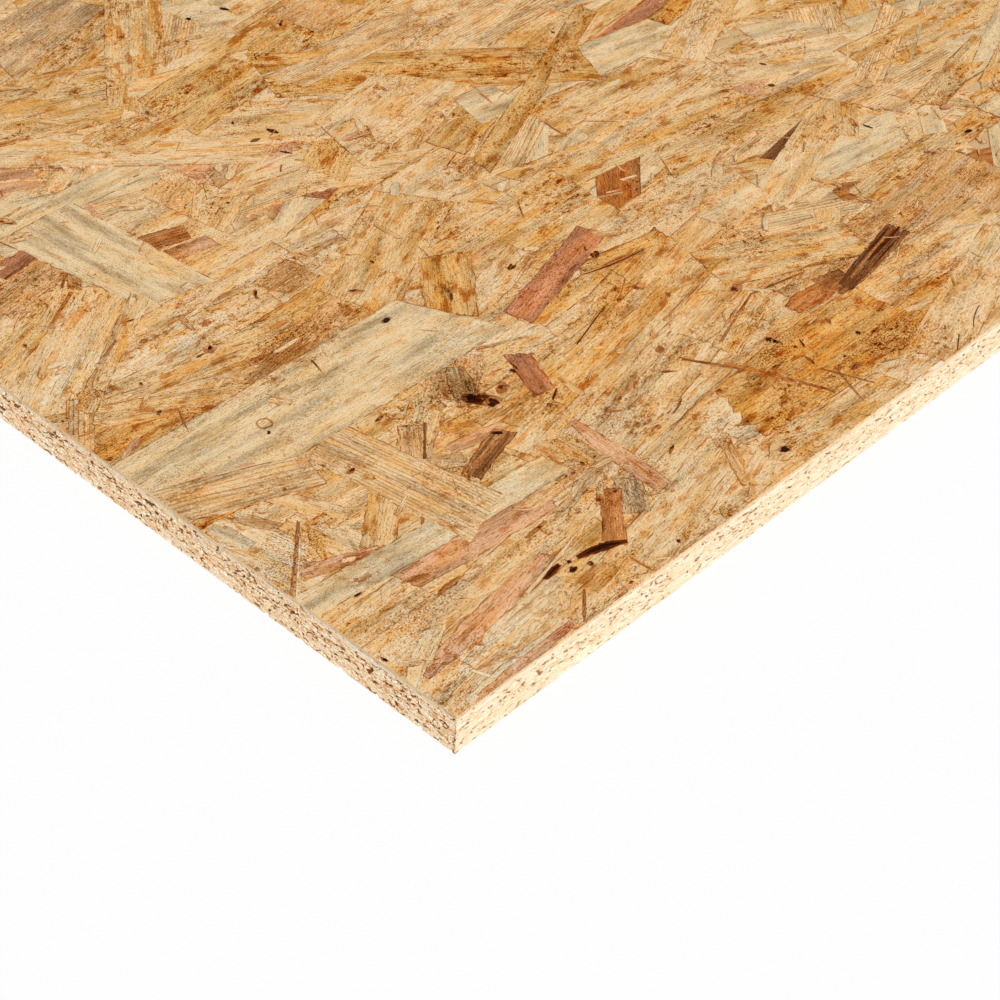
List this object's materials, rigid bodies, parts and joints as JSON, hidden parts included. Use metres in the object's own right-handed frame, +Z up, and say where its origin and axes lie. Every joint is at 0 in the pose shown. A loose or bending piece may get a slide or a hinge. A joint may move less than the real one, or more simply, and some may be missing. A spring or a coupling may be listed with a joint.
{
  "type": "osb panel",
  "caption": "Flat rectangular sheet of oriented strand board with square sawn edges, small voids between the strands in its edges and chipped lower arrises.",
  "frame": {"origin": "middle of the underside, on the floor that the sheet lies on", "axes": "+X along the sheet's length, the way most face strands run, +Y across its width, +Z up through its thickness"},
  "size_m": [2.44, 1.22, 0.018],
  "materials": {
    "strand_board": "pressed softwood strands, honey brown with paler, pinker and darker strands, matt with a light sheen where resin has soaked in"
  },
  "bodies": {
    "root": {"osb_panel": "strand_board"}
  },
  "joints": []
}
